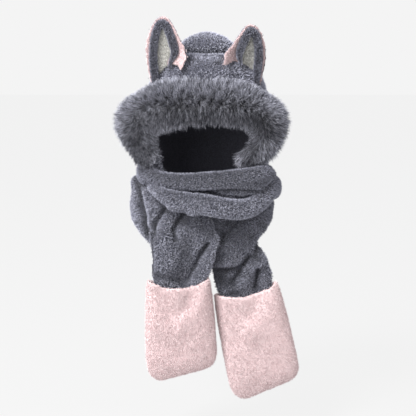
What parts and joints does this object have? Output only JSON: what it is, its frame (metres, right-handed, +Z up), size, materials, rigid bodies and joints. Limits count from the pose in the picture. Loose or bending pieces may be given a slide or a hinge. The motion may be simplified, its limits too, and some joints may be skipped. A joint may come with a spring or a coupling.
{
  "type": "animal hood scarf",
  "caption": "Plush animal hood with upright ears and a fur-edged face opening, whose two scarf ends wrap round the neck and hang down to pink hand pockets.",
  "frame": {"origin": "inside of the crown, at the point where the top of a head carries the hood", "axes": "+Z up along the worn object, -Y out of the face opening towards the front, +X to the right of the front view"},
  "size_m": [0.3976, 0.2914, 0.8176],
  "materials": {
    "grey_plush": "matt short pile",
    "grey_long_fur": "long soft pile with light tips",
    "dark_short_fur": "medium soft pile",
    "pink_plush": "matt short pile",
    "pale_plush": "matt short pile"
  },
  "bodies": {
    "root": {"hood_shell": "grey_plush", "fur_brim": "grey_long_fur", "ear_left_back": "grey_plush", "ear_left_front": "pink_plush", "ear_left_centre": "pale_plush", "ear_left_rim": "dark_short_fur", "ear_right_back": "grey_plush", "ear_right_front": "pink_plush", "ear_right_centre": "pale_plush", "ear_right_rim": "dark_short_fur", "scarf_left": "grey_plush", "scarf_right": "grey_plush", "pocket_left": "pink_plush", "pocket_right": "pink_plush"}
  },
  "joints": []
}
